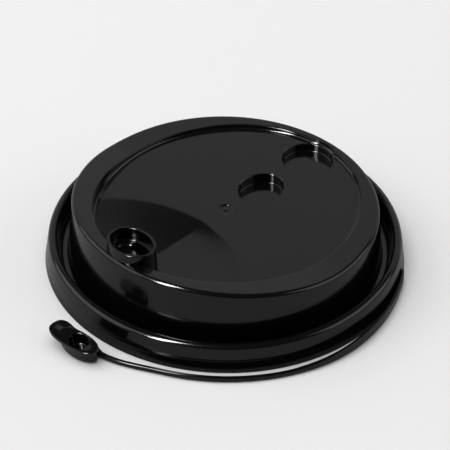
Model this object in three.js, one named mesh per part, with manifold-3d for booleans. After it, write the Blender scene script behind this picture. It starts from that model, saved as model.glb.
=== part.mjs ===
// Takeaway cup lid, injection moulded in one piece: a rim that snaps over a cup, a raised dome whose top
// ring climbs towards the sip spout, a sunk deck with a drain valley and two wells, and a stopper on a strap.
// Millimetres, +Z up. While it is modelled the dome's axis is Z, the spout is at -Y and the foot is at z = 0.

import * as THREE from 'three';
import { mergeVertices } from 'three/addons/utils/BufferGeometryUtils.js';
import Module from 'manifold-3d';

const wasm = await Module();
wasm.setup();

// Wall and smoothness
const WALL = 0.7;
const ROUND_STEPS = 72;
const SMALL_STEPS = 36;

// Skirt and rim, which grip the cup
const FOOT_RADIUS = 47.5;
const SKIRT_BAND_HEIGHT = 3.2;
const SKIRT_BAND_STEP = 0.35;
const SKIRT_DRAFT = 0.12;
const RIM_HEIGHT = 7.8;
const RIM_CROWN = 2.4;
const RIM_ROUND = 1.4;
const SNAP_BEAD = 0.45;
const SNAP_BEAD_HEIGHT = 2.4;

// Groove between the rim and the dome
const GROOVE_DRAFT = 1.1;
const GROOVE_WIDTH = 1.7;
const GROOVE_HEIGHT = 2.3;
const GROOVE_STEP = 0.25;

// Dome and its top ring, level behind and climbing to the spout in front of the bend
const DOME_DRAFT = 1.1;
const RING_HEIGHT = 16.3;
const RING_ROUND = 0.8;
const RING_RISE = 4.5;
const BEND_Y = -1;
const BEND_SOFTNESS = 4;

// Sunk deck inside the ring, an oval that is longer on the line from the spout to the wells
const DECK_HEIGHT = 14.8;
const RING_SIDE_WIDTH = 7.2;
const RING_END_WIDTH = 3.1;
const DECK_SHIFT_Y = 0.6;

// Drain valley in the deck, bounded by one arc and deepest at the spout
const VALLEY_TIP_Y = -8;
const VALLEY_ARC_RADIUS = 35;
const VALLEY_FALL = 0.045;
const VALLEY_STEPS = 12;

// Sip spout, oval across the lid's centre line
const SPOUT_SETBACK = 0.9;
const SPOUT_HALF_WIDTH = 6.5;
const SPOUT_HALF_LENGTH = 5.4;
const SPOUT_HEIGHT = 23.3;
const SPOUT_FLARE = 0.75;
const SPOUT_WALL = 0.65;
const SOCKET_DEPTH = 3.8;
const SEAT_INSET = 1.5;
const SEAT_DEPTH = 0.5;
const SIP_SLOT_WIDTH = 5.6;
const SIP_SLOT_LENGTH = 2.6;
const SIP_SLOT_CORNER = 0.9;
const SIP_SLOT_Y = 2.7;

// Wells in the deck: the middle one parks the stopper, the other is by the ring
const WELL_PITCH = 18;
const MIDDLE_WELL_HALF_WIDTH = 5.4;
const MIDDLE_WELL_HALF_LENGTH = 6.7;
const EDGE_WELL_BITE = 0.2;
const EDGE_WELL_HALF_WIDTH = 6.8;
const EDGE_WELL_HALF_LENGTH = 6.8;
const WELL_LEDGE_DEPTH = 2.8;
const WELL_LEDGE = 0.4;
const WELL_DEPTH = 4.8;

// Gate mark in the middle of the deck
const GATE_RADIUS = 2;
const GATE_DEPTH = 0.25;
const GATE_NUB_RADIUS = 0.35;

// Strap from the skirt's foot round to the stopper, in degrees from +X
const STRAP_ROOT_DEG = 42;
const STRAP_JOIN = 0.9;
const STRAP_SWING_DEG = 26;
const STRAP_GAP = 2.5;
const STRAP_WIDTH = 1.1;
const STRAP_ROOT_THICKNESS = 2.8;
const STRAP_THICKNESS = 1.3;
const STRAP_TAPER_DEG = 60;
const STRAP_STEPS = 44;
const STRAP_LIFT = 0.2;
const RISER_DEG = 3.3;

// Stopper: an oval cup that plugs the spout, under a kidney-shaped flange with a finger tab
const STOPPER_X = 2.3;
const STOPPER_REACH = 6;
const STOPPER_FIT = 0.1;
const STOPPER_HEIGHT = 3.4;
const STOPPER_WALL = 0.6;
const STOPPER_DRAFT = 0.2;
const STOPPER_TILT_DEG = 9;
const FLANGE_THICKNESS = 0.7;
const FLANGE_LIP = 0.55;
const TAB_REACH = 7.7;
const TAB_RADIUS = 2.6;

const RAD = Math.PI / 180;

// Radii of the skirt, rim, groove and dome, each worked out from the one outside it
const BAND_TOP_RADIUS = FOOT_RADIUS - SKIRT_DRAFT * SKIRT_BAND_HEIGHT;
const UPPER_SKIRT_RADIUS = BAND_TOP_RADIUS - SKIRT_BAND_STEP;
const RIM_SIDE_HEIGHT = RIM_HEIGHT - RIM_ROUND;
const RIM_RADIUS = UPPER_SKIRT_RADIUS - SKIRT_DRAFT * (RIM_SIDE_HEIGHT - SKIRT_BAND_HEIGHT);
const RIM_INNER_RADIUS = RIM_RADIUS - RIM_CROWN;
const RIM_CORNER = RIM_CROWN - RIM_ROUND;
const GROOVE_RADIUS = RIM_INNER_RADIUS - GROOVE_DRAFT;
const DOME_FOOT_RADIUS = GROOVE_RADIUS - GROOVE_WIDTH;
const DOME_TOP_RADIUS = DOME_FOOT_RADIUS - DOME_DRAFT;
const DOME_EDGE_RADIUS = DOME_TOP_RADIUS - RING_ROUND;

// Places and sizes that follow from the dome's
const CLIMB = RING_RISE / (DOME_TOP_RADIUS + BEND_Y);
const DECK_HALF_WIDTH = DOME_TOP_RADIUS - RING_SIDE_WIDTH;
const DECK_HALF_LENGTH = DOME_TOP_RADIUS - RING_END_WIDTH;
const SPOUT_Y = SPOUT_SETBACK + SPOUT_HALF_LENGTH - DOME_TOP_RADIUS;
const EDGE_WELL_Y = DECK_SHIFT_Y + DECK_HALF_LENGTH + EDGE_WELL_BITE - EDGE_WELL_HALF_LENGTH;
const MIDDLE_WELL_Y = EDGE_WELL_Y - WELL_PITCH;

// The stopper's outline is the socket's, less the fit, and the strap ends beside its flange
const STOPPER_Y = -FOOT_RADIUS - STOPPER_REACH;
const STOPPER_HALF_WIDTH = SPOUT_HALF_WIDTH - SPOUT_WALL - STOPPER_FIT;
const STOPPER_HALF_LENGTH = SPOUT_HALF_LENGTH - SPOUT_WALL - STOPPER_FIT;
const STOPPER_TOP = STRAP_LIFT + STOPPER_HEIGHT;
const STRAP_END_X = STOPPER_X + STOPPER_HALF_WIDTH + FLANGE_LIP + STRAP_JOIN;
const STRAP_END_DEG = Math.asin(STRAP_END_X / (FOOT_RADIUS + STRAP_GAP)) / RAD - 90;

function solidOf(geometry) {
  geometry.deleteAttribute('normal');
  geometry.deleteAttribute('uv');
  const merged = mergeVertices(geometry, 1e-5);
  const mesh = new wasm.Mesh({
    numProp: 3,
    vertProperties: new Float32Array(merged.attributes.position.array),
    triVerts: new Uint32Array(merged.index.array),
  });
  return new wasm.Manifold(mesh);
}

// A profile of [radius, height] pairs, drawn from the bottom of the axis out and up to the top of the axis
function revolve(profile, steps = ROUND_STEPS) {
  const points = profile.map(([radius, height]) => new THREE.Vector2(radius, height));
  const geometry = new THREE.LatheGeometry(points, steps);
  geometry.rotateX(Math.PI / 2);
  return geometry;
}

// Moves each point of a round body outwards along X and Y, which turns circles into ovals of even wall
function stretch(geometry, extraX, extraY) {
  const position = geometry.attributes.position;
  for (let i = 0; i < position.count; i += 1) {
    const x = position.getX(i);
    const y = position.getY(i);
    const radius = Math.hypot(x, y);
    if (radius > 1e-6) {
      position.setX(i, x + extraX * (x / radius));
      position.setY(i, y + extraY * (y / radius));
    }
  }
  return geometry;
}

// A straight-sided oval body whose profile gives [offset from the outline, height] pairs
function ovalBody(halfWidth, halfLength, offsets, x, y, steps = SMALL_STEPS) {
  const base = Math.min(halfWidth, halfLength);
  const rings = offsets.map(([offset, height]) => [base + offset, height]);
  const profile = [[0, rings[0][1]], ...rings, [0, rings[rings.length - 1][1]]];
  const geometry = stretch(revolve(profile, steps), halfWidth - base, halfLength - base);
  return solidOf(geometry.translate(x, y, 0));
}

// Height of the ring's climb at a given y, a straight slope with a soft bend
function climbAt(y) {
  const ahead = BEND_Y - y;
  return CLIMB * 0.5 * (ahead + Math.hypot(ahead, BEND_SOFTNESS));
}

// Shears the dome upwards in step with the climb, leaving all that is outside the groove level
function liftDome(geometry, lowHeight, highHeight, outerRadius) {
  const position = geometry.attributes.position;
  for (let i = 0; i < position.count; i += 1) {
    const x = position.getX(i);
    const y = position.getY(i);
    const z = position.getZ(i);
    const share = (z - lowHeight) / (highHeight - lowHeight);
    if (Math.hypot(x, y) < outerRadius && share > 0) {
      position.setZ(i, z + climbAt(y) * Math.min(share, 1));
    }
  }
  return geometry;
}

function arc(centreR, centreZ, radius, fromDeg, toDeg, count) {
  const points = [];
  for (let i = 0; i <= count; i += 1) {
    const angle = (fromDeg + ((toDeg - fromDeg) * i) / count) * RAD;
    points.push([centreR + radius * Math.cos(angle), centreZ + radius * Math.sin(angle)]);
  }
  return points;
}

function outerBody() {
  const profile = [
    [0, 0],
    [FOOT_RADIUS, 0],
    [BAND_TOP_RADIUS, SKIRT_BAND_HEIGHT],
    [UPPER_SKIRT_RADIUS, SKIRT_BAND_HEIGHT + SKIRT_BAND_STEP],
    ...arc(RIM_RADIUS - RIM_ROUND, RIM_SIDE_HEIGHT, RIM_ROUND, 0, 90, 4),
    ...arc(RIM_INNER_RADIUS + RIM_CORNER, RIM_HEIGHT - RIM_CORNER, RIM_CORNER, 110, 180, 2),
    [GROOVE_RADIUS, GROOVE_HEIGHT + GROOVE_STEP],
    [GROOVE_RADIUS - GROOVE_STEP, GROOVE_HEIGHT],
    [DOME_FOOT_RADIUS + GROOVE_STEP, GROOVE_HEIGHT],
    [DOME_FOOT_RADIUS, GROOVE_HEIGHT + GROOVE_STEP],
    ...arc(DOME_EDGE_RADIUS, RING_HEIGHT - RING_ROUND, RING_ROUND, 0, 90, 3),
    [(DOME_EDGE_RADIUS + DECK_HALF_WIDTH) / 2, RING_HEIGHT],
    [DECK_HALF_WIDTH - RING_ROUND, RING_HEIGHT],
    [0, RING_HEIGHT],
  ];
  const geometry = liftDome(revolve(profile), GROOVE_HEIGHT + GROOVE_STEP, RING_HEIGHT, GROOVE_RADIUS);
  return solidOf(geometry);
}

// The hollow under the lid, one wall inside the outer body
function innerBody() {
  const corner = RING_ROUND - WALL / 2;
  const below = -1;
  const topHeight = RING_HEIGHT - WALL;
  const profile = [
    [0, below],
    [FOOT_RADIUS - WALL, below],
    [FOOT_RADIUS - WALL, 0],
    [BAND_TOP_RADIUS - WALL - SNAP_BEAD, SNAP_BEAD_HEIGHT],
    [UPPER_SKIRT_RADIUS - WALL, SKIRT_BAND_HEIGHT + SKIRT_BAND_STEP],
    [RIM_RADIUS - WALL, RIM_SIDE_HEIGHT],
    [RIM_RADIUS - WALL - 0.2, RIM_HEIGHT - WALL],
    [RIM_INNER_RADIUS + WALL, RIM_HEIGHT - WALL],
    [GROOVE_RADIUS + WALL, GROOVE_HEIGHT],
    [GROOVE_RADIUS, GROOVE_HEIGHT - WALL],
    [DOME_FOOT_RADIUS - WALL, GROOVE_HEIGHT - WALL],
    [DOME_FOOT_RADIUS - WALL, GROOVE_HEIGHT + GROOVE_STEP],
    [DOME_TOP_RADIUS - WALL, topHeight - corner],
    [DOME_EDGE_RADIUS, topHeight],
    [(DOME_EDGE_RADIUS + DECK_HALF_WIDTH) / 2, topHeight],
    [DECK_HALF_WIDTH - RING_ROUND, topHeight],
    [0, topHeight],
  ];
  const geometry = liftDome(revolve(profile), GROOVE_HEIGHT + GROOVE_STEP, topHeight, GROOVE_RADIUS);
  return solidOf(geometry);
}

// The oval inside the ring as an upright body, grown by an even offset, from a floor height up
function ovalWithin(offset, floor) {
  const ends = [[offset, floor], [offset, SPOUT_HEIGHT + 1]];
  return ovalBody(DECK_HALF_WIDTH, DECK_HALF_LENGTH, ends, 0, DECK_SHIFT_Y, ROUND_STEPS);
}

// The valley as a body with a V-shaped floor: at each y straight lines run from the crease to the arc
function valleyBody(drop) {
  const centreY = VALLEY_TIP_Y - VALLEY_ARC_RADIUS;
  const startY = VALLEY_TIP_Y - 0.2;
  const length = startY - centreY;
  const overrun = 1.15;
  const geometry = new THREE.BoxGeometry(2, 1, 1, 4, VALLEY_STEPS, 1);
  const position = geometry.attributes.position;
  for (let i = 0; i < position.count; i += 1) {
    const across = position.getX(i) * overrun;
    const y = centreY + (position.getY(i) + 0.5) * length;
    const halfWidth = Math.sqrt(VALLEY_ARC_RADIUS ** 2 - (y - centreY) ** 2);
    const depth = VALLEY_FALL * (VALLEY_TIP_Y - y) * (1 - Math.abs(across));
    const isFloor = position.getZ(i) < 0;
    position.setXYZ(i, across * halfWidth, y, (isFloor ? DECK_HEIGHT - depth : RING_HEIGHT) - drop);
  }
  return solidOf(geometry);
}

// The sunk deck and its valley as one body, grown and lowered by the same offset
function sunkDeck(offset) {
  const valley = valleyBody(offset).intersect(ovalWithin(offset, GROOVE_HEIGHT));
  return ovalWithin(offset, DECK_HEIGHT - offset).add(valley);
}

function spoutOutline(offsets) {
  return ovalBody(SPOUT_HALF_WIDTH, SPOUT_HALF_LENGTH, offsets, 0, SPOUT_Y);
}

function spoutTube() {
  const foot = DECK_HEIGHT - WALL - VALLEY_FALL * (VALLEY_TIP_Y - SPOUT_Y);
  return spoutOutline([[SPOUT_FLARE, foot], [0, SPOUT_HEIGHT]]);
}

// The socket takes the stopper; below its web the spout is hollow down to the cup
function spoutBore() {
  const web = SPOUT_HEIGHT - SOCKET_DEPTH;
  const socket = spoutOutline([[-SPOUT_WALL, web], [-SPOUT_WALL, SPOUT_HEIGHT + 1]]);
  const chamber = spoutOutline([[-SPOUT_WALL, 0], [-SPOUT_WALL, web - SEAT_DEPTH - WALL]]);
  const inset = -SPOUT_WALL - SEAT_INSET;
  const seat = spoutOutline([[inset, web - SEAT_DEPTH], [inset, web + 1]]);
  return socket.add(chamber).add(seat).add(sipSlot(web));
}

// The sip slot is a rounded rectangle through the web, on the side nearer the deck
function sipSlot(web) {
  const halfWidth = SIP_SLOT_WIDTH / 2 - SIP_SLOT_CORNER;
  const halfLength = SIP_SLOT_LENGTH / 2 - SIP_SLOT_CORNER;
  const shape = new THREE.Shape();
  shape.absarc(halfWidth, halfLength, SIP_SLOT_CORNER, 0, Math.PI / 2, false);
  shape.absarc(-halfWidth, halfLength, SIP_SLOT_CORNER, Math.PI / 2, Math.PI, false);
  shape.absarc(-halfWidth, -halfLength, SIP_SLOT_CORNER, Math.PI, Math.PI * 1.5, false);
  shape.absarc(halfWidth, -halfLength, SIP_SLOT_CORNER, Math.PI * 1.5, Math.PI * 2, false);
  const depth = WALL + SEAT_DEPTH + 2;
  const options = { depth, bevelEnabled: false, curveSegments: 5 };
  const geometry = new THREE.ExtrudeGeometry(shape, options);
  return solidOf(geometry.translate(0, SPOUT_Y + SIP_SLOT_Y, web + 1 - depth));
}

function wellShell(halfWidth, halfLength, y) {
  const offsets = [[WALL - WELL_LEDGE, DECK_HEIGHT - WELL_DEPTH - WALL], [WALL, DECK_HEIGHT - WELL_LEDGE_DEPTH],
    [WALL, DECK_HEIGHT - WALL / 2]];
  return ovalBody(halfWidth, halfLength, offsets, 0, y);
}

function wellHole(halfWidth, halfLength, y) {
  const ledge = DECK_HEIGHT - WELL_LEDGE_DEPTH;
  const offsets = [[-WELL_LEDGE, DECK_HEIGHT - WELL_DEPTH], [-WELL_LEDGE, ledge], [0, ledge],
    [0, SPOUT_HEIGHT]];
  return ovalBody(halfWidth, halfLength, offsets, 0, y);
}

function gateDish() {
  const profile = [
    [0, DECK_HEIGHT - GATE_DEPTH / 2],
    [GATE_NUB_RADIUS, DECK_HEIGHT - GATE_DEPTH / 2],
    [GATE_NUB_RADIUS * 1.5, DECK_HEIGHT - GATE_DEPTH],
    [GATE_RADIUS - GATE_DEPTH, DECK_HEIGHT - GATE_DEPTH],
    [GATE_RADIUS, DECK_HEIGHT + GATE_DEPTH],
    [0, DECK_HEIGHT + GATE_DEPTH],
  ];
  return solidOf(revolve(profile, SMALL_STEPS / 2));
}

// Radius of the strap's inner side: it leaves the foot and swings out to an even gap
function strapRadius(angleDeg) {
  const swing = Math.min((STRAP_ROOT_DEG - angleDeg) / STRAP_SWING_DEG, 1);
  const smooth = swing * swing * (3 - 2 * swing);
  return FOOT_RADIUS - WALL / 2 + (STRAP_GAP + WALL / 2) * smooth;
}

function polar(radius, angleDeg) {
  return new THREE.Vector2(radius * Math.cos(angleDeg * RAD), radius * Math.sin(angleDeg * RAD));
}

function strap() {
  const inner = [];
  const outer = [];
  for (let i = 0; i <= STRAP_STEPS; i += 1) {
    const angle = STRAP_ROOT_DEG + ((STRAP_END_DEG - STRAP_ROOT_DEG) * i) / STRAP_STEPS;
    inner.push(polar(strapRadius(angle), angle));
    outer.push(polar(strapRadius(angle) + STRAP_WIDTH, angle));
  }
  const shape = new THREE.Shape([...outer, ...inner.reverse()]);
  const geometry = new THREE.ExtrudeGeometry(shape, { depth: 1, bevelEnabled: false });
  const position = geometry.attributes.position;
  for (let i = 0; i < position.count; i += 1) {
    const angle = Math.atan2(position.getY(i), position.getX(i)) / RAD;
    const share = Math.min((STRAP_ROOT_DEG - angle) / STRAP_TAPER_DEG, 1);
    const thickness = STRAP_ROOT_THICKNESS + (STRAP_THICKNESS - STRAP_ROOT_THICKNESS) * share;
    position.setZ(i, STRAP_LIFT + position.getZ(i) * thickness);
  }
  return solidOf(geometry);
}

function stopperOutline(offsets) {
  return ovalBody(STOPPER_HALF_WIDTH, STOPPER_HALF_LENGTH, offsets, STOPPER_X, STOPPER_Y);
}

// A point on the flange's oval, at an angle from +X
function flangePoint(angleDeg) {
  const x = STOPPER_X + (STOPPER_HALF_WIDTH + FLANGE_LIP) * Math.cos(angleDeg * RAD);
  const y = STOPPER_Y + (STOPPER_HALF_LENGTH + FLANGE_LIP) * Math.sin(angleDeg * RAD);
  return new THREE.Vector2(x, y);
}

// The flange is the cup's lip and a round finger tab, joined by a wide neck
function stopperFlange() {
  const low = STOPPER_TOP - FLANGE_THICKNESS;
  const lip = stopperOutline([[FLANGE_LIP, low], [FLANGE_LIP, STOPPER_TOP]]);
  const tabX = STOPPER_X - TAB_REACH;
  const tab = ovalBody(TAB_RADIUS, TAB_RADIUS, [[0, low], [0, STOPPER_TOP]], tabX, STOPPER_Y);
  const neck = new THREE.Shape([
    new THREE.Vector2(tabX, STOPPER_Y + 0.98 * TAB_RADIUS),
    new THREE.Vector2(tabX - 0.2 * TAB_RADIUS, STOPPER_Y - 0.95 * TAB_RADIUS),
    flangePoint(236),
    flangePoint(143),
  ]);
  const neckGeometry = new THREE.ExtrudeGeometry(neck, { depth: FLANGE_THICKNESS, bevelEnabled: false });
  return lip.add(tab).add(solidOf(neckGeometry.translate(0, 0, low)));
}

// The cup and its flange lean towards the lid, as the strap's twist leaves them
function stopper() {
  const cup = stopperOutline([[-STOPPER_DRAFT, STRAP_LIFT], [0, STOPPER_TOP]]);
  const hollow = stopperOutline([
    [-STOPPER_WALL - STOPPER_DRAFT, STRAP_LIFT + STOPPER_WALL],
    [-STOPPER_WALL, STOPPER_TOP + 1],
  ]);
  const level = cup.add(stopperFlange()).subtract(hollow);
  const rise = STOPPER_HALF_LENGTH * Math.sin(STOPPER_TILT_DEG * RAD);
  return level.translate(0, -STOPPER_Y, 0).rotate(-STOPPER_TILT_DEG, 0, 0).translate(0, STOPPER_Y, rise);
}

// The strap's end widens into a short block that joins the cup's wall and flange
function strapRiser() {
  const inside = strapRadius(STRAP_END_DEG);
  const outside = inside + STRAP_WIDTH;
  const shape = new THREE.Shape([
    polar(inside, STRAP_END_DEG + 1),
    polar(inside, STRAP_END_DEG - RISER_DEG),
    polar(outside + STRAP_WIDTH, STRAP_END_DEG - RISER_DEG),
    polar(outside, STRAP_END_DEG + 1),
  ]);
  const geometry = new THREE.ExtrudeGeometry(shape, { depth: STOPPER_HEIGHT, bevelEnabled: false });
  return solidOf(geometry.translate(0, 0, STRAP_LIFT));
}

function lidSolid() {
  const outside = outerBody().subtract(sunkDeck(0));
  const inside = innerBody().subtract(sunkDeck(WALL));
  const shell = outside.subtract(inside);
  const wells = [
    [MIDDLE_WELL_HALF_WIDTH, MIDDLE_WELL_HALF_LENGTH, MIDDLE_WELL_Y],
    [EDGE_WELL_HALF_WIDTH, EDGE_WELL_HALF_LENGTH, EDGE_WELL_Y],
  ];
  let lid = shell.add(spoutTube());
  wells.forEach((well) => {
    lid = lid.add(wellShell(...well));
  });
  lid = lid.subtract(spoutBore()).subtract(gateDish());
  wells.forEach((well) => {
    lid = lid.subtract(wellHole(...well));
  });
  return lid.add(strap()).add(strapRiser()).add(stopper());
}

function geometryOf(solid) {
  const mesh = solid.getMesh();
  const geometry = new THREE.BufferGeometry();
  geometry.setAttribute('position', new THREE.BufferAttribute(mesh.vertProperties, 3));
  geometry.setIndex(new THREE.BufferAttribute(mesh.triVerts, 1));
  geometry.computeVertexNormals();
  return geometry;
}

const blackPolypropylene = new THREE.MeshStandardMaterial({ color: 0x0b0b0c, roughness: 0.16, metalness: 0 });

const lid = new THREE.Mesh(geometryOf(lidSolid()), blackPolypropylene);
lid.name = 'lid';

// The origin is the middle of the footprint, at the height of the foot
const bounds = new THREE.Box3().setFromObject(lid);
const middle = bounds.getCenter(new THREE.Vector3());
lid.position.set(-middle.x, -middle.y, -bounds.min.z);

const part = new THREE.Group();
part.add(lid);

export default part;
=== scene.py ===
import math

import bpy
import numpy as np
from mathutils import Matrix, Vector


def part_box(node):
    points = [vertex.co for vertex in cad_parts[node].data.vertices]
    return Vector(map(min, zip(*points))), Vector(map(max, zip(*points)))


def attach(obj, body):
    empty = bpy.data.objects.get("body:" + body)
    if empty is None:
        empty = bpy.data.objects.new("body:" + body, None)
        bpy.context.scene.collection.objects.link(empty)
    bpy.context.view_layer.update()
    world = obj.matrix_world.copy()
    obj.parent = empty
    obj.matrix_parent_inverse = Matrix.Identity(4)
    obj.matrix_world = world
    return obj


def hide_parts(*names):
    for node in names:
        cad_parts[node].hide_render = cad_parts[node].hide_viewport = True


# Takeaway cup lid with a sip spout, a sunk deck, two wells and a stopper on a strap.
# Lengths are in metres. While it is worked out the dome's axis is Z and the spout is at -Y.

bl_info = {
    "name": "Sip-through cup lid",
    "version": (1, 0, 0),
    "blender": (4, 5, 0),
    "location": "3D View > Sidebar > Cup lid",
    "description": "Builds a moulded takeaway cup lid and a small studio around it",
    "category": "Object",
}

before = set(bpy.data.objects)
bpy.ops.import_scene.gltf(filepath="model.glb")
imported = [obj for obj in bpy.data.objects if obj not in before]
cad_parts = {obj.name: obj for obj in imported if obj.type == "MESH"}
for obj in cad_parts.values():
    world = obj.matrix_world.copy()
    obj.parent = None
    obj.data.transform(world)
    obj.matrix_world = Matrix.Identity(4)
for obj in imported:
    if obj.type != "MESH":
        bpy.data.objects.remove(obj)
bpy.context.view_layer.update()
lid_low, lid_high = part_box("lid")

MM = 0.001
AROUND = 300  # points round the shell
AROUND_SMALL = 96  # points round the spout, the wells and their cutters
AROUND_STRAP = 28  # points round the strap's section
STRAP_STEPS = 240  # sections along the strap
DECK_ROWS = 58  # rings on the deck and under it
UNDER_ROWS = 22

# Small fixed sizes, none of which the photograph shows well enough to be set
FAN_SHARE = 0.06  # place of the ring inside a flat end, from its edge to its middle
MIDDLE_RING = 0.5 * MM  # radius of the first ring under the deck
LEAST_CORNER = 0.1 * MM  # least radius of the ring's corner on the underside
RIM_CORNER_OUT = 0.5 * MM  # inside the rim, how far its two corners are cut off
RIM_CORNER_IN = 0.4 * MM
RIM_INNER_START = 1.2 * MM  # how far below its top the rim's inner side starts
BEAD_HALF = 0.2 * MM  # half of the height of the bead's face
FOOT_CUT = (0.1 * MM, 0.3 * MM)  # width and height of the bevel inside the foot
FOOT_ROUND = 0.15 * MM  # radius outside the foot
SEAT_CUT = 0.2 * MM  # bevel at the bottom of the seat
SEAT_OVERLAP = 0.12 * MM  # how far the seat's cutter passes the socket's floor, up and down
SEAT_FLARE = 0.35 * MM  # how far it widens there
CHAMBER_START = 4 * MM  # foot of the chamber above the groove's floor
CHAMBER_CUT = 0.3 * MM  # bevel at the top of the chamber
PAST = 1 * MM  # how far the slot's cutter passes the web on both sides
SLOT_POWER = 5  # power of the slot's outline
WELL_PAST = 5 * MM  # how far the wells' cutter passes the ring
STRAP_POWER = 4.0  # power of the strap's rounded section
STRAP_START = math.radians(5)  # angle over which the strap reaches its width
STRAP_START_SHARE = 0.45  # share of the width at its very start
CUP_ROUND = 0.4 * MM  # radius at the foot of the stopper's cup
FLANGE_POWER = 2.9  # power of the flange's outline
NOTCH_PLACE = 0.8  # middle of the flange's notch and its breadth, as shares
NOTCH_BREADTH = 0.33
HOLLOW_ROUND = 0.5 * MM  # radius at the floor of the hollow
HOLLOW_SHIFT = 0.5 * MM  # offset of the hollow from the cup's middle
SHARP_ANGLE = math.radians(38)  # edges sharper than this aren't shaded as rounded
PLASTIC_IOR = 1.49
GLOSS_DRIFT = (0.8, 1.25)  # least and greatest roughness, as shares of the moulding's
HAZE_SIZE = 12 * MM  # size of the patches in which the gloss drifts
RIPPLE_STRENGTH = 0.35
RIPPLE_DEPTH = 0.03 * MM
ROOM_LIGHT = 0.06  # brightness of the room round the lamps
FLOOR_ROUGHNESS = 0.9
FLOOR_SPECULAR = 0.1
SENSOR = 36  # width of the camera's sensor in millimetres
CLIP = (0.01, 20)  # nearest and farthest distance that the camera sees

# Radius as a share of half the gate's radius, and depth as a share of its depth, from the edge of the dish
# round the moulding gate in to its middle
GATE_DISH = [(2.6, 0), (2.3, 0), (2.1, 0), (2.0, 0.1), (1.9, 0.45), (1.8, 0.85), (1.7, 1), (1.5, 1),
             (1.2, 1), (0.9, 1), (0.7, 1), (0.55, 0.95), (0.45, 0.6), (0.35, 0.5), (0.2, 0.5)]


def length(default, name, description):
    """A length property whose default is given in millimetres."""
    return bpy.props.FloatProperty(name=name, description=description, default=default * MM, unit="LENGTH")


def degrees(default, name, description):
    """An angle property whose default is given in degrees."""
    return bpy.props.FloatProperty(
        name=name, description=description, default=math.radians(default), unit="ROTATION")


def number(default, name, description):
    """A plain number property."""
    return bpy.props.FloatProperty(name=name, description=description, default=default)


def colour(default, name, description):
    """A colour property whose default is an sRGB hex value."""
    return bpy.props.FloatVectorProperty(
        name=name, description=description, default=linear(default), subtype="COLOR", size=3, min=0, max=1)


def linear(hex_value):
    """An sRGB hex value as linear red, green and blue."""
    channels = np.array([int(hex_value[i:i + 2], 16) for i in (1, 3, 5)]) / 255
    curve = ((channels + 0.055) / 1.055) ** 2.4
    return tuple(np.where(channels <= 0.04045, channels / 12.92, curve).tolist())


class LidShellSizes(bpy.types.PropertyGroup):
    """Sizes of the skirt, rim, groove, dome, ring and deck"""

    wall: length(0.7, "Wall", "Thickness of the moulded wall")
    foot_radius: length(47.5, "Foot radius", "Outer radius of the skirt's foot")
    band_height: length(3.2, "Band height", "Height of the wider band at the foot of the skirt")
    band_step: length(0.15, "Band step", "How far the skirt steps in above its band")
    step_length: length(1.6, "Step length", "Height over which it does so")
    skirt_draft: number(0.12, "Skirt draft", "Slope of the skirt's side")
    rim_height: length(7.8, "Rim height", "Top of the rim above the table")
    rim_crown: length(2.4, "Rim crown", "Width of the rim's rounded top")
    rim_round: length(1.4, "Rim round", "Radius of the rim's outer edge")
    bead: length(0.45, "Bead", "How far the bead inside the skirt stands in")
    bead_height: length(2.4, "Bead height", "Height of that bead")
    groove_draft: length(1.1, "Groove draft", "How far the groove's outer wall leans in")
    groove_width: length(1.7, "Groove width", "Width of the groove's floor")
    groove_height: length(2.3, "Groove height", "Height of the groove's floor")
    groove_fillet: length(0.4, "Groove fillet", "Radius at both sides of the groove's floor")
    dome_draft: length(1.1, "Dome draft", "How far the dome's wall leans in")
    ring_height: length(16.3, "Ring height", "Height of the level part of the ring")
    ring_round: length(1.1, "Ring round", "Radius of the ring's outer edge")
    ring_rise: length(4.5, "Ring rise", "How far the ring climbs to the spout")
    ring_side: length(7.2, "Ring width at the sides", "Width of the ring beside the deck")
    ring_end: length(3.1, "Ring width at the ends", "Width of the ring behind and before the deck")
    ring_edge: length(0.3, "Inner edge", "Radius of the ring's inner edge")
    bend_y: length(-1, "Bend", "Where the ring starts to climb")
    bend_softness: length(4, "Bend softness", "Length over which the ring bends")
    deck_height: length(15.1, "Deck height", "Height of the sunk deck")
    deck_shift: length(0.6, "Deck shift", "Offset of the deck's oval from the axis")
    deck_fillet: length(0.85, "Deck fillet", "Radius where the deck meets its wall")
    valley_tip: length(-8, "Valley tip", "Where the drain valley starts")
    valley_arc: length(35, "Valley arc", "Radius of the arc that bounds the valley")
    valley_slope: number(0.043, "Valley slope", "Slope from the arc down to the crease")
    valley_fade: length(6, "Valley fade", "Length over which the valley fades towards its tip")
    valley_soft: length(0.2, "Valley softness", "Radius of the valley's crease and edge")
    gate_radius: length(2, "Gate radius", "Radius of the dish round the moulding gate")
    gate_depth: length(0.25, "Gate depth", "Depth of that dish")


class LidSpoutSizes(bpy.types.PropertyGroup):
    """Sizes of the sip spout"""

    setback: length(0.9, "Setback", "From the dome's edge to the front of the spout")
    half_width: length(6.9, "Half width", "Half of the spout's width")
    half_length: length(5.4, "Half length", "Half of the spout's length")
    height: length(23.3, "Height", "Top of the spout above the table")
    flare: length(0.75, "Flare", "How far the spout widens down to the deck")
    wall: length(0.65, "Wall", "Thickness of the spout's wall")
    edge: length(0.22, "Edge", "Radius of the spout's lip")
    socket: length(3.8, "Socket depth", "Depth of the socket that takes the stopper")
    seat_inset: length(1.5, "Seat inset", "Width of the step round the seat in the socket")
    seat_depth: length(0.5, "Seat depth", "Depth of that seat")
    slot_width: length(5.6, "Slot width", "Width of the sip slot")
    slot_length: length(2.6, "Slot length", "Length of the sip slot")
    slot_shift: length(2.7, "Slot shift", "Offset of the slot towards the deck")


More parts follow.
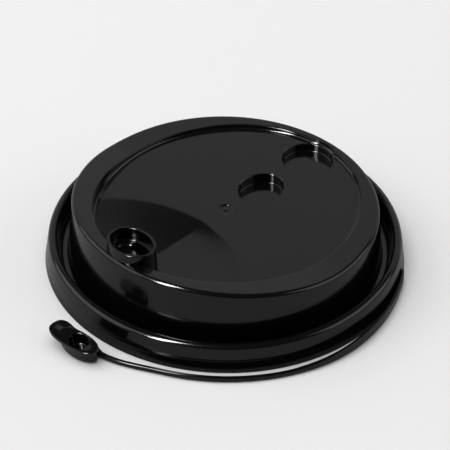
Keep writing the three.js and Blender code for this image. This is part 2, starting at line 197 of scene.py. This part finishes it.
class LidWellSizes(bpy.types.PropertyGroup):
    """Sizes of the two wells"""

    middle_half_width: length(5.4, "Middle half width", "Half of the middle well's width")
    middle_half_length: length(6.7, "Middle half length", "Half of the middle well's length")
    edge_half: length(6.8, "Edge well radius", "Radius of the well beside the ring")
    bite: length(0.2, "Bite", "How far the edge well cuts into the ring")
    pitch: length(18, "Pitch", "Distance between the wells")
    middle_depth: length(2.9, "Middle depth", "Depth of the middle well")
    edge_depth: length(2.3, "Edge well depth", "Depth of the well beside the ring")
    edge: length(0.35, "Edge", "Radius of each well's edge")
    fillet: length(0.3, "Fillet", "Radius where each well's wall meets its floor")


class LidStrapSizes(bpy.types.PropertyGroup):
    """Sizes of the strap that holds the stopper"""

    root: degrees(34, "Root", "Where the strap leaves the foot, from +X")
    swing: degrees(52, "Swing", "Angle over which it swings out")
    bow: degrees(18, "Bow", "Angle over which the strap bows out to the stopper")
    bow_out: length(1.6, "Bow out", "How far it does so")
    riser: degrees(3.3, "Riser", "Angle over which the strap widens into the stopper")
    gap: length(2.5, "Gap", "Clearance between the strap and the skirt")
    width: length(1.1, "Width", "Width of the strap")
    root_thickness: length(2.8, "Root thickness", "Height of the strap at its root")
    thickness: length(1.3, "Thickness", "Height of the strap along its run")
    taper_start: degrees(2, "Taper start", "Where the strap starts to thin, from +X")
    taper: degrees(28, "Taper", "Angle over which it thins")
    lift: length(0.2, "Lift", "Height of the strap above the table")


class LidStopperSizes(bpy.types.PropertyGroup):
    """Sizes of the stopper"""

    shift: length(2.1, "Shift", "How far round from the spout the cup's middle lies")
    reach: length(7, "Reach", "From the skirt's foot to the cup's middle")
    half_width: length(6.3, "Half width", "Half of the cup's width, along the skirt")
    half_length: length(2.9, "Half length", "Half of the cup's length, away from the skirt")
    height: length(4, "Height", "Height of the cup with its flange")
    hollow_half_width: length(2.9, "Hollow half width", "Half of the hollow's width, along the skirt")
    hollow_half_length: length(2.4, "Hollow half length", "Half of the hollow's length")
    floor: length(0.6, "Floor", "Thickness under the hollow")
    draft: length(0.25, "Draft", "How far the cup narrows to its foot")
    tilt: degrees(-8, "Tilt", "How far the stopper leans towards the lid")
    flange: length(0.8, "Flange", "Thickness of the flange")
    flange_shift: length(-1.6, "Flange shift", "Offset of the flange from the cup, towards its finger tab")
    flange_half_width: length(7.7, "Flange half width", "Half of the flange's width, along the skirt")
    lip: length(0.2, "Lip", "How far the flange stands out at the cup's sides")
    narrowing: number(0.08, "Narrowing", "Share by which the flange narrows to the strap, away from its tab")
    notch: length(0.5, "Notch", "Depth of the hollow in the flange's edge that faces the skirt")
    edge: length(0.25, "Edge", "Radius of the flange's edges")


class LidFinish(bpy.types.PropertyGroup):
    """Colour and gloss of the moulding"""

    plastic: colour("#080809", "Plastic", "Colour of the plastic itself")
    roughness: number(0.12, "Roughness", "Roughness of the polished moulding")
    ripple: length(7, "Ripple", "Size of the slow waves that shrinkage leaves in the skin")


class LidStudio(bpy.types.PropertyGroup):
    """Camera, floor and lamps"""

    eye: bpy.props.FloatVectorProperty(
        name="Eye", description="Camera's place from the dome's axis", default=(0.37741, -0.39082, 0.44138),
        subtype="TRANSLATION", unit="LENGTH", precision=5)
    aim: bpy.props.FloatVectorProperty(
        name="Aim", description="Point the camera looks at, from the dome's axis",
        default=(0.00006, -0.00024, 0.01), subtype="TRANSLATION", unit="LENGTH", precision=5)
    roll: degrees(1.077, "Roll", "Roll of the camera")
    lens: number(211.23, "Lens", "Focal length in millimetres on a 36 mm sensor")
    floor: colour("#EFEFEF", "Floor", "Colour of the table")
    floor_in_gloss: colour("#A4A4A4", "Floor in gloss", "Colour of the table in gloss and bounced light")
    floor_half: length(1500, "Floor half", "Half of the floor's side")


def axis():
    """Place of the dome's axis in the frame: the foot's circle touches the box's low x and high y."""
    foot = bpy.context.scene.lid_shell.foot_radius
    return np.array([lid_low.x + foot, lid_high.y - foot, lid_low.z])


def radii(s):
    """Radii of the skirt, rim, groove and dome, each worked out from the one outside it."""
    band_top = s.foot_radius - s.skirt_draft * s.band_height
    upper = band_top - s.band_step
    rim_side = s.rim_height - s.rim_round
    rim = upper - s.skirt_draft * (rim_side - s.band_height)
    rim_inner = rim - s.rim_crown
    groove = rim_inner - s.groove_draft
    dome_foot = groove - s.groove_width
    dome_top = dome_foot - s.dome_draft
    return {"band_top": band_top, "upper": upper, "rim_side": rim_side, "rim": rim, "rim_inner": rim_inner,
            "groove": groove, "dome_foot": dome_foot, "dome_top": dome_top,
            "deck_x": dome_top - s.ring_side, "deck_y": dome_top - s.ring_end}


def climb(y, s):
    """Rise of the ring at y: a slope times the soft positive part of the distance ahead of the bend."""
    ahead = s.bend_y - y
    slope = s.ring_rise / (radii(s)["dome_top"] + s.bend_y)
    return slope * 0.5 * (ahead + np.hypot(ahead, s.bend_softness))


def valley(x, y, s):
    """Depth of the drain valley. On each line across, it falls with one slope from the bounding arc to the
    crease at x = 0, so the depth is slope * (half chord - |x|), with a soft crease and a soft edge. Towards
    its tip the valley fades with the square root of the distance."""
    centre = s.valley_tip - s.valley_arc
    chord = np.sqrt(np.maximum(s.valley_arc ** 2 - (y - centre) ** 2, 0))
    across = np.hypot(x, s.valley_soft) - s.valley_soft
    ahead = np.maximum(s.valley_tip - y, 0)
    depth = s.valley_slope * (chord - across) * np.sqrt(1 - np.exp(-ahead / s.valley_fade))
    soft = s.valley_slope * s.valley_soft
    return np.where(y < s.valley_tip, 0.5 * (depth + np.hypot(depth, soft)) - 0.5 * soft * (depth > 0), 0)


def ease(share):
    """A share from 0 to 1 that starts and ends gently."""
    return share * share * (3 - 2 * share)


def bend(centre, radius, start, stop, count):
    """Points on an arc in the (radius, height) plane, as two columns, between two angles in degrees."""
    angle = np.radians(np.linspace(start, stop, count))
    return np.column_stack([centre[0] + radius * np.cos(angle), centre[1] + radius * np.sin(angle)])


def run(start, stop, count):
    """Points on a straight line, or rows between two rows, without the two ends."""
    share = np.linspace(0, 1, count + 2)[1:-1, None]
    return np.array(start) * (1 - share) + np.array(stop) * share


def oval(around, power):
    """Two rows, x and y, of points on the oval |x|^p + |y|^p = 1."""
    turn = np.linspace(0, 2 * np.pi, around, endpoint=False)
    wave = np.stack([np.cos(turn), np.sin(turn)])
    return np.sign(wave) * np.abs(wave) ** (2 / power)


def ovals(half_x, half_y, z, x=0.0, y=0.0, around=AROUND_SMALL, power=2.0):
    """A stack of level ovals |x/a|^p + |y/b|^p = 1, one for each entry of half_x, half_y and z."""
    wave = oval(around, power)
    half_x, half_y, z = np.broadcast_arrays(np.atleast_1d(half_x), half_y, z)
    height = np.repeat(z[:, None], around, axis=1)
    return np.stack([x + np.outer(half_x, wave[0]), y + np.outer(half_y, wave[1]), height], axis=-1)


def offset_ovals(half_x, half_y, profile, x=0.0, y=0.0, **options):
    """Ovals that follow a profile of (offset from the outline, height) rows."""
    profile = np.asarray(profile)
    return ovals(half_x + profile[:, 0], half_y + profile[:, 0], profile[:, 1], x, y, **options)


def loft(name, rings):
    """A closed body through a stack of rings: quads join neighbouring rings, and each end is a fan inside
    one more ring, which keeps the shading of a flat end flat."""
    ends = np.stack([rings[0].mean(axis=0), rings[-1].mean(axis=0)])
    inset = rings[[0, -1]] * (1 - FAN_SHARE) + ends[:, None] * FAN_SHARE
    rings = np.concatenate([inset[:1], rings, inset[1:]])
    count, around = rings.shape[:2]
    vertices = np.concatenate([rings.reshape(-1, 3), ends]) + axis()
    here = np.arange(around)
    after = np.roll(here, -1)
    row = np.arange(count - 1)[:, None] * around
    quads = np.stack([row + here, row + after, row + after + around, row + here + around], axis=-1)
    last = (count - 1) * around
    low = np.column_stack([np.full(around, count * around), after, here])
    high = np.column_stack([np.full(around, count * around + 1), last + here, last + after])
    mesh = bpy.data.meshes.new(name)
    faces = quads.reshape(-1, 4).tolist() + low.tolist() + high.tolist()
    mesh.from_pydata(vertices.tolist(), [], faces)
    if mesh.validate():
        raise RuntimeError(f"the mesh of {name} had faults")
    piece = bpy.data.objects.new(name, mesh)
    bpy.context.scene.collection.objects.link(piece)
    return piece


def combine(piece, other, operation):
    """Joins another body to a piece, or cuts it out, and removes that body."""
    before = len(piece.data.vertices)
    modifier = piece.modifiers.new(other.name, "BOOLEAN")
    modifier.operation = operation
    modifier.solver = "MANIFOLD"
    modifier.object = other
    with bpy.context.temp_override(object=piece, active_object=piece, selected_objects=[piece]):
        bpy.ops.object.modifier_apply(modifier=modifier.name)
    mesh = other.data
    name = other.name
    bpy.data.objects.remove(other)
    bpy.data.meshes.remove(mesh)
    if len(piece.data.vertices) in (0, before):
        raise RuntimeError(f"{name} didn't change {piece.name}")


def moulding():
    """The lid as it has been built so far."""
    piece = bpy.data.objects.get("lid_moulding")
    if piece is None:
        raise RuntimeError("build the shell first")
    return piece


def shell_rings(s):
    """The shell as one stack of rings, from the middle of its underside out, down to the foot, up its
    outside and in to the middle of the deck. Each row has half axes, shift, height, share of the ring's
    climb and share of the valley's depth: height + climb * rise(y) - dip * depth(x, y)."""
    r = radii(s)
    low = s.groove_height + s.groove_fillet
    inner_top = s.ring_height - s.wall
    edge = r["dome_top"] - s.ring_round

    def round_rows(points, top):
        lift = np.clip((points[:, 1] - low) / (top - low), 0, 1) * (points[:, 0] < r["groove"])
        zero = np.zeros(len(points))
        return np.column_stack([points[:, 0], points[:, 0], zero, points[:, 1], lift, zero])

    def oval_rows(offset, z, lift, dip):
        offset, z, lift, dip = np.broadcast_arrays(np.atleast_1d(offset), z, lift, dip)
        shift = np.full(len(offset), s.deck_shift)
        return np.column_stack([r["deck_x"] + offset, r["deck_y"] + offset, shift, z, lift, dip])

    # Underside, one wall inside
    centre_low = np.array([[MIDDLE_RING, MIDDLE_RING, 0, s.deck_height - s.wall, 0, 1]])
    under_deck = oval_rows(s.wall, s.deck_height - s.wall, 0, 1)
    under_wall = oval_rows(s.wall, np.linspace(s.deck_height - s.wall, inner_top, 6)[1:],
                           np.linspace(0, 1, 6)[1:], np.linspace(1, 0, 6)[1:])
    corner = max(s.ring_round - s.wall / 2, LEAST_CORNER)
    skirt = np.concatenate([
        bend((edge, inner_top - corner), corner, 90, 0, 5),
        run((r["dome_top"] - s.wall, inner_top - corner), (r["dome_foot"] - s.wall, low), 8),
        np.array([[r["dome_foot"] - s.wall, low]]),
        bend((r["dome_foot"] - s.wall + s.groove_fillet, s.groove_height - s.wall + s.groove_fillet),
             s.groove_fillet, 180, 270, 4),
        bend((r["groove"] - s.groove_fillet + 0.5 * s.wall, s.groove_height - s.wall + s.groove_fillet),
             s.groove_fillet, 270, 355, 4),
        run((r["groove"] + s.wall, s.groove_height + s.groove_fillet),
            (r["rim_inner"] + s.wall, s.rim_height - s.wall - RIM_CORNER_OUT), 4),
        np.array([[r["rim_inner"] + s.wall + RIM_CORNER_IN, s.rim_height - s.wall],
                  [r["rim"] - s.wall - RIM_CORNER_OUT, s.rim_height - s.wall],
                  [r["rim"] - s.wall, r["rim_side"]],
                  [r["upper"] - s.wall, s.band_height + s.band_step],
                  [r["band_top"] - s.wall - s.bead, s.bead_height + BEAD_HALF],
                  [r["band_top"] - s.wall - s.bead, s.bead_height - BEAD_HALF],
                  [s.foot_radius - s.wall, FOOT_CUT[1]],
                  [s.foot_radius - s.wall + FOOT_CUT[0], 0]]),
    ])
    inside = round_rows(skirt, inner_top)

    # Outside, from the foot up
    step = s.step_length / 2
    share = np.linspace(0, 1, 12)
    outside = np.concatenate([
        bend((s.foot_radius - FOOT_ROUND, FOOT_ROUND), FOOT_ROUND, -90, 0, 4),
        run((s.foot_radius, FOOT_ROUND), (r["band_top"], s.band_height - step), 5),
        np.column_stack([r["band_top"] + (r["upper"] - r["band_top"]) * ease(share),
                         s.band_height + step * (2 * share - 1)]),
        run((r["upper"], s.band_height + step), (r["rim"], r["rim_side"]), 5),
        bend((r["rim"] - s.rim_round, r["rim_side"]), s.rim_round, 0, 88, 12),
        bend((r["rim_inner"] + s.rim_crown - s.rim_round, s.rim_height - s.rim_crown + s.rim_round),
             s.rim_crown - s.rim_round, 92, 175, 9),
        run((r["rim_inner"], s.rim_height - RIM_INNER_START), (r["groove"], low), 5),
        bend((r["groove"] - s.groove_fillet, low), s.groove_fillet, 0, -88, 6),
        bend((r["dome_foot"] + s.groove_fillet, low), s.groove_fillet, 268, 180, 6),
        run((r["dome_foot"], low), (r["dome_top"], s.ring_height - s.ring_round), 14),
        bend((edge, s.ring_height - s.ring_round), s.ring_round, 0, 90, 10),
    ])
    outside = round_rows(outside, s.ring_height)
    ring_lip = bend((s.ring_edge, s.ring_height - s.ring_edge), s.ring_edge, 90, 180, 5)
    lip_rows = oval_rows(ring_lip[:, 0], ring_lip[:, 1], 1, 0)
    ring_flat = run(outside[-1], lip_rows[0], 7)
    foot_of_wall = bend((-s.deck_fillet, s.deck_height + s.deck_fillet), s.deck_fillet, 0, -90, 6)
    fillet_rows = oval_rows(foot_of_wall[:, 0], foot_of_wall[:, 1], 0, 1)
    wall_rows = run(lip_rows[-1], fillet_rows[0], 8)
    radius, depth = np.array(GATE_DISH).T
    radius = radius * s.gate_radius / 2
    none, full = np.zeros(len(radius)), np.ones(len(radius))
    gate_rows = np.column_stack([radius, radius, none, s.deck_height - depth * s.gate_depth, none, full])
    deck_rows = run(fillet_rows[-1], gate_rows[0], DECK_ROWS)
    under_rows = run(centre_low[0], under_deck[0], UNDER_ROWS)
    rows = np.concatenate([centre_low, under_rows, under_deck, under_wall, inside, outside, ring_flat,
                           lip_rows, wall_rows, fillet_rows, deck_rows, gate_rows])
    turn = np.linspace(0, 2 * np.pi, AROUND, endpoint=False)
    x = np.outer(rows[:, 0], np.cos(turn))
    y = np.outer(rows[:, 1], np.sin(turn)) + rows[:, 2:3]
    z = rows[:, 3:4] + rows[:, 4:5] * climb(y, s) - rows[:, 5:6] * valley(x, y, s)
    return np.stack([x, y, z], axis=-1)


class LID_OT_shell(bpy.types.Operator):
    """Build the skirt, rim, groove, dome, ring and sunk deck as one closed shell"""

    bl_idname = "lid.shell"
    bl_label = "Shell"

    def execute(self, context):
        loft("lid_moulding", shell_rings(context.scene.lid_shell))
        return {"FINISHED"}


def spout_place(scene):
    """Y of the spout's middle."""
    spout = scene.lid_spout
    return spout.setback + spout.half_length - radii(scene.lid_shell)["dome_top"]


class LID_OT_spout(bpy.types.Operator):
    """Add the oval sip spout, and cut its socket, seat, slot and chamber"""

    bl_idname = "lid.spout"
    bl_label = "Spout"

    def execute(self, context):
        s, shell = context.scene.lid_spout, context.scene.lid_shell
        piece = moulding()
        y = spout_place(context.scene)
        foot = shell.deck_height - shell.wall - shell.valley_slope * shell.valley_arc
        share = np.linspace(0, 1, 10)
        side = np.column_stack([s.flare * (1 - share), foot + (s.height - s.edge - foot) * share])
        lip = bend((-s.edge, s.height - s.edge), s.edge, 0, 88, 6)
        tube = offset_ovals(s.half_width, s.half_length, np.concatenate([side, lip[1:]]), y=y)
        combine(piece, loft("spout_tube", tube), "UNION")

        web = s.height - s.socket
        floor = bend((-s.wall - s.edge, web + s.edge), s.edge, -85, 0, 5)
        mouth = bend((-s.wall + s.edge, s.height - s.edge), s.edge, 180, 105, 6)
        above = mouth[-1] + [s.edge * 4, s.edge]
        socket = np.concatenate([floor, mouth, [above]])
        combine(piece, loft("socket", offset_ovals(s.half_width, s.half_length, socket, y=y)), "DIFFERENCE")

        inset = -s.wall - s.seat_inset
        seat = [[inset - SEAT_CUT, web - s.seat_depth], [inset, web - s.seat_depth + SEAT_CUT],
                [inset, web - SEAT_OVERLAP], [inset + SEAT_FLARE, web + SEAT_OVERLAP]]
        combine(piece, loft("seat", offset_ovals(s.half_width, s.half_length, seat, y=y)), "DIFFERENCE")

        below = web - s.seat_depth - s.wall
        chamber = [[-s.wall, shell.groove_height + CHAMBER_START], [-s.wall, below - CHAMBER_CUT],
                   [-s.wall - CHAMBER_CUT, below]]
        combine(piece, loft("chamber", offset_ovals(s.half_width, s.half_length, chamber, y=y)), "DIFFERENCE")

        ends = np.array([below - PAST, web + PAST])
        slot = ovals(s.slot_width / 2, s.slot_length / 2, ends, 0, y + s.slot_shift, power=SLOT_POWER)
        combine(piece, loft("slot", slot), "DIFFERENCE")
        return {"FINISHED"}


class LID_OT_wells(bpy.types.Operator):
    """Sink the two wells into the deck"""

    bl_idname = "lid.wells"
    bl_label = "Wells"

    def execute(self, context):
        s, shell = context.scene.lid_wells, context.scene.lid_shell
        piece = moulding()
        edge_y = shell.deck_shift + radii(shell)["deck_y"] + s.bite - s.edge_half
        wells = [(s.middle_half_width, s.middle_half_length, edge_y - s.pitch, s.middle_depth),
                 (s.edge_half, s.edge_half, edge_y, s.edge_depth)]
        deck, wall = shell.deck_height, shell.wall
        mouth = bend((s.edge, deck - s.edge), s.edge, 180, 105, 6)
        beyond = mouth[-1][0] + s.edge
        rise = np.array([[beyond, deck + s.edge], [beyond, shell.ring_height + WELL_PAST]])
        for half_x, half_y, y, depth in wells:
            outer = [[wall - s.fillet, deck - depth - wall], [wall, deck - depth - wall + s.fillet],
                     [wall, deck - wall / 2]]
            combine(piece, loft("well_shell", offset_ovals(half_x, half_y, outer, y=y)), "UNION")
        for half_x, half_y, y, depth in wells:
            floor = bend((-s.fillet, deck - depth + s.fillet), s.fillet, -85, 0, 6)
            inner = np.concatenate([floor, mouth, rise])
            combine(piece, loft("well", offset_ovals(half_x, half_y, inner, y=y)), "DIFFERENCE")
        return {"FINISHED"}


class LID_OT_strap(bpy.types.Operator):
    """Carry the strap from the foot round to the stopper"""

    bl_idname = "lid.strap"
    bl_label = "Strap"

    def execute(self, context):
        scene = context.scene
        s, foot, wall = scene.lid_strap, scene.lid_shell.foot_radius, scene.lid_shell.wall
        stopper = scene.lid_stopper
        along = stopper.shift + stopper.flange_shift + stopper.flange_half_width
        end = along / (foot + stopper.reach) - math.pi / 2
        angle = np.concatenate([np.linspace(s.root, end, STRAP_STEPS), np.linspace(end, end - s.riser, 12)[1:]])
        swing = ease(np.clip((s.root - angle) / s.swing, 0, 1))
        inner = foot - wall / 2 + (s.gap + wall / 2) * swing
        inner = inner + s.bow_out * ease(np.clip(1 - (angle - end) / s.bow, 0, 1))
        taper = np.clip((s.taper_start - angle) / s.taper, 0, 1)
        rise = np.clip((end - angle) / s.riser, 0, 1) ** 2
        start = np.clip((s.root - angle) / STRAP_START, 0, 1) ** 0.5
        width = s.width * (STRAP_START_SHARE + (1 - STRAP_START_SHARE) * start) + s.width * rise
        thickness = s.root_thickness + (s.thickness - s.root_thickness) * taper
        thickness = thickness + (stopper.height - thickness) * rise
        wave = oval(AROUND_STRAP, STRAP_POWER)
        radius = inner[:, None] + width[:, None] * (0.5 + 0.5 * wave[0])
        z = s.lift + thickness[:, None] * (0.5 + 0.5 * wave[1])
        rings = np.stack([radius * np.cos(angle)[:, None], radius * np.sin(angle)[:, None], z], axis=-1)
        combine(moulding(), loft("strap", rings), "UNION")
        return {"FINISHED"}


def stopper_rings(scene, half_u, half_v, profile, shift=0.0, power=2.0, narrowing=0.0, notch=0.0):
    """Ovals |u/a|^p + |v/b|^p = 1 that follow a profile of (offset, height) rows, narrowed by 1 - k u/a and
    notched by a bell curve on the side of the skirt. They lean by the tilt in the (v, height) plane and then
    bend round the dome's axis: u is the way round, v the way to the axis."""
    s, foot = scene.lid_stopper, scene.lid_shell.foot_radius
    flat = offset_ovals(half_u, half_v, profile, around=AROUND_SMALL * 2, power=power)
    u, v, height = flat[..., 0], flat[..., 1], flat[..., 2]
    bell = np.exp(-(u / half_u / NOTCH_BREADTH + NOTCH_PLACE) ** 2)
    v = v * (1 - narrowing * u / half_u) - notch * bell * (v > 0) * (v / half_v)
    u = u + shift + s.shift
    inward = v * math.cos(s.tilt) + height * math.sin(s.tilt)
    z = height * math.cos(s.tilt) - v * math.sin(s.tilt) + s.half_length * abs(math.sin(s.tilt))
    middle = foot + s.reach
    angle = u / middle - np.pi / 2
    return np.stack([(middle - inward) * np.cos(angle), (middle - inward) * np.sin(angle), z], axis=-1)


class LID_OT_stopper(bpy.types.Operator):
    """Add the stopper: a hollow oval cup under a bean-shaped flange that ends in a finger tab"""

    bl_idname = "lid.stopper"
    bl_label = "Stopper"

    def execute(self, context):
        scene = context.scene
        s, lift = scene.lid_stopper, scene.lid_strap.lift
        top = lift + s.height
        low = top - s.flange
        cup = np.concatenate([bend((-s.draft - CUP_ROUND, lift + CUP_ROUND), CUP_ROUND, -80, 0, 6),
                              run((-s.draft, lift + CUP_ROUND), (0, top - s.edge), 3),
                              bend((-s.edge, top - s.edge), s.edge, 0, 85, 5)])
        body = loft("stopper_cup", stopper_rings(scene, s.half_width, s.half_length, cup))
        edge = np.concatenate([bend((-s.edge, low + s.edge), s.edge, -85, 0, 5),
                               bend((-s.edge, top - s.edge), s.edge, 0, 85, 5)])
        flange = stopper_rings(scene, s.flange_half_width, s.half_length + s.lip, edge, s.flange_shift,
                               FLANGE_POWER, s.narrowing, s.notch)
        combine(body, loft("stopper_flange", flange), "UNION")
        mouth = bend((s.edge, top - s.edge), s.edge, 180, 105, 5)
        bottom = bend((-s.draft - HOLLOW_ROUND, lift + s.floor + HOLLOW_ROUND), HOLLOW_ROUND, -80, 0, 6)
        hollow = np.concatenate([bottom, mouth, [mouth[-1] + [s.edge * 4, s.edge]]])
        rings = stopper_rings(scene, s.hollow_half_width, s.hollow_half_length, hollow, HOLLOW_SHIFT)
        combine(body, loft("hollow", rings), "DIFFERENCE")
        combine(moulding(), body, "UNION")
        return {"FINISHED"}


def add_node(tree, kind, settings=None, links=None):
    """Adds a node, sets its properties and sockets, and links its sockets to others' outputs."""
    node = tree.nodes.new(kind)
    for key, value in (settings or {}).items():
        if isinstance(key, str) and hasattr(node, key):
            setattr(node, key, value)
        else:
            node.inputs[key].default_value = value
    for key, source in (links or {}).items():
        tree.links.new(source, node.inputs[key])
    return node


def black_polypropylene(finish):
    """Black injection-moulded polypropylene from a polished mould: nearly black in the body, with a clean
    gloss that shows the room. The skin has slow shrinkage waves a few millimetres long."""
    material = bpy.data.materials.new("black_polypropylene_polished")
    material.use_nodes = True
    tree = material.node_tree
    tree.nodes.clear()
    place = add_node(tree, "ShaderNodeTexCoord").outputs["Object"]
    waves = add_node(tree, "ShaderNodeTexNoise",
                     {"Scale": 1 / finish.ripple, "Detail": 1.0, "Roughness": 0.4}, {"Vector": place})
    # Moulding haze: the gloss drifts a little from one centimetre to the next
    haze = add_node(tree, "ShaderNodeTexNoise", {"Scale": 1 / HAZE_SIZE, "Detail": 3.0}, {"Vector": place})
    gloss = add_node(tree, "ShaderNodeMapRange",
                     {"To Min": finish.roughness * GLOSS_DRIFT[0], "To Max": finish.roughness * GLOSS_DRIFT[1]},
                     {"Value": haze.outputs["Fac"]})
    bump = add_node(tree, "ShaderNodeBump", {"Strength": RIPPLE_STRENGTH, "Distance": RIPPLE_DEPTH},
                    {"Height": waves.outputs["Fac"]})
    shader = add_node(tree, "ShaderNodeBsdfPrincipled",
                      {"Base Color": (*finish.plastic, 1), "IOR": PLASTIC_IOR, "Metallic": 0.0},
                      {"Roughness": gloss.outputs["Result"], "Normal": bump.outputs["Normal"]})
    add_node(tree, "ShaderNodeOutputMaterial", {}, {"Surface": shader.outputs["BSDF"]})
    return material


class LID_OT_finish(bpy.types.Operator):
    """Shade the moulding and give it its plastic"""

    bl_idname = "lid.finish"
    bl_label = "Finish"

    def execute(self, context):
        piece = moulding()
        mesh = piece.data
        mesh.polygons.foreach_set("use_smooth", np.ones(len(mesh.polygons), bool))
        mesh.set_sharp_from_angle(angle=SHARP_ANGLE)
        # Flat faces stay flat up to their rounded edges
        weighted = piece.modifiers.new("weighted_normals", "WEIGHTED_NORMAL")
        weighted.keep_sharp = True
        with bpy.context.temp_override(object=piece, active_object=piece, selected_objects=[piece]):
            bpy.ops.object.modifier_apply(modifier=weighted.name)
        mesh.materials.clear()
        mesh.materials.append(black_polypropylene(context.scene.lid_finish))
        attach(piece, "root")
        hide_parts("lid")
        return {"FINISHED"}


# Each lamp: azimuth and elevation of its middle as the camera sees the lid, with 0 to the right and 90
# behind, then distance, width, height, the brightness of its face, and whether gloss and matt surfaces
# show its light
LAMPS = {
    "back_panel": (90, 22, 1.4, 3.4, 1.15, 0.37, True, True),
    "left_box": (180, 30, 1.3, 1.6, 1.1, 1.2, True, True),
    "right_box": (0, 28, 1.4, 1.4, 1.0, 1.1, True, True),
    "front_strip": (230, 42, 1.2, 0.2, 0.9, 45.0, True, False),
    "left_fill": (165, 58, 2.6, 2.4, 2.4, 1.6, False, True),
    "top_fill": (90, 88, 2.2, 3.0, 3.0, 1.0, False, True),
}


class LID_OT_studio(bpy.types.Operator):
    """Set up the floor, the lamps, the room's light and the camera"""

    bl_idname = "lid.studio"
    bl_label = "Studio"

    def execute(self, context):
        scene = context.scene
        s = scene.lid_studio
        base = Vector(axis())
        self.floor(s, base)
        toward = math.atan2(s.eye[1], s.eye[0])
        for name, (azimuth, elevation, distance, width, height, face, gloss, matt) in LAMPS.items():
            turn = toward + math.radians(azimuth + 90)
            raised = math.radians(elevation)
            level = math.cos(raised)
            out = Vector((math.cos(turn) * level, math.sin(turn) * level, math.sin(raised)))
            lamp = bpy.data.lights.new(name, "AREA")
            lamp.shape = "RECTANGLE"
            lamp.size, lamp.size_y = width, height
            lamp.energy = face * math.pi * width * height
            holder = bpy.data.objects.new(name, lamp)
            holder.location = base + out * distance
            holder.rotation_euler = out.to_track_quat("Z", "Y").to_euler()
            holder.visible_glossy, holder.visible_diffuse = gloss, matt
            scene.collection.objects.link(holder)
        world = bpy.data.worlds.new("studio_room")
        world.use_nodes = True
        background = world.node_tree.nodes["Background"].inputs
        background["Color"].default_value = (1, 1, 1, 1)
        background["Strength"].default_value = ROOM_LIGHT
        scene.world = world
        self.camera(scene, s, base)
        scene.view_settings.view_transform = "Standard"
        return {"FINISHED"}

    def floor(self, s, base):
        """A level square under the lid, pale and matt."""
        half = s.floor_half
        mesh = bpy.data.meshes.new("floor")
        corners = np.array([(-1, -1), (1, -1), (1, 1), (-1, 1)]) * half
        points = np.column_stack([corners + np.array(base)[:2], np.zeros(4)])
        mesh.from_pydata(points.tolist(), [], [(0, 1, 2, 3)])
        material = bpy.data.materials.new("white_table_paint")
        material.use_nodes = True
        tree = material.node_tree
        shader = tree.nodes["Principled BSDF"]
        camera_ray = add_node(tree, "ShaderNodeLightPath").outputs["Is Camera Ray"]
        tone = add_node(tree, "ShaderNodeMix", {"data_type": "RGBA"})
        tone.inputs["A"].default_value = (*s.floor_in_gloss, 1)
        tone.inputs["B"].default_value = (*s.floor, 1)
        tree.links.new(camera_ray, tone.inputs["Factor"])
        tree.links.new(tone.outputs["Result"], shader.inputs["Base Color"])
        shader.inputs["Roughness"].default_value = FLOOR_ROUGHNESS
        shader.inputs["Specular IOR Level"].default_value = FLOOR_SPECULAR
        mesh.materials.append(material)
        floor = bpy.data.objects.new("floor", mesh)
        bpy.context.scene.collection.objects.link(floor)

    def camera(self, scene, s, base):
        """The camera looks from the eye to the aim, rolled about that line."""
        eye, aim = base + Vector(s.eye), base + Vector(s.aim)
        look = (aim - eye).normalized()
        level = look.cross(Vector((0, 0, 1))).normalized()
        upright = level.cross(look)
        right = level * math.cos(s.roll) + upright * math.sin(s.roll)
        up = right.cross(look)
        lens = bpy.data.cameras.new("camera")
        lens.lens, lens.sensor_width = s.lens, SENSOR
        lens.clip_start, lens.clip_end = CLIP
        camera = bpy.data.objects.new("camera", lens)
        turned = Matrix((right, up, -look)).transposed().to_4x4()
        camera.matrix_world = Matrix.Translation(eye) @ turned
        scene.collection.objects.link(camera)
        scene.camera = camera


OPERATORS = (LID_OT_shell, LID_OT_spout, LID_OT_wells, LID_OT_strap, LID_OT_stopper, LID_OT_finish,
             LID_OT_studio)
GROUPS = {
    "lid_shell": LidShellSizes,
    "lid_spout": LidSpoutSizes,
    "lid_wells": LidWellSizes,
    "lid_strap": LidStrapSizes,
    "lid_stopper": LidStopperSizes,
    "lid_finish": LidFinish,
    "lid_studio": LidStudio,
}


class LID_PT_panel(bpy.types.Panel):
    """Lists the lid's sizes, finish and steps"""

    bl_idname = "LID_PT_panel"
    bl_label = "Cup lid"
    bl_space_type = "VIEW_3D"
    bl_region_type = "UI"
    bl_category = "Cup lid"

    def draw(self, context):
        for attribute, group in GROUPS.items():
            box = self.layout.box()
            for name in group.__annotations__:
                box.prop(getattr(context.scene, attribute), name)
        for operator in OPERATORS:
            self.layout.operator(operator.bl_idname)


def register():
    for group in GROUPS.values():
        bpy.utils.register_class(group)
    for attribute, group in GROUPS.items():
        setattr(bpy.types.Scene, attribute, bpy.props.PointerProperty(type=group))
    for operator in OPERATORS:
        bpy.utils.register_class(operator)
    bpy.utils.register_class(LID_PT_panel)


def unregister():
    bpy.utils.unregister_class(LID_PT_panel)
    for operator in reversed(OPERATORS):
        bpy.utils.unregister_class(operator)
    for attribute, group in GROUPS.items():
        delattr(bpy.types.Scene, attribute)
        bpy.utils.unregister_class(group)


def main():
    register()
    bpy.ops.lid.shell()
    bpy.ops.lid.spout()
    bpy.ops.lid.wells()
    bpy.ops.lid.strap()
    bpy.ops.lid.stopper()
    bpy.ops.lid.finish()
    bpy.ops.lid.studio()


if __name__ == "__main__":
    main()
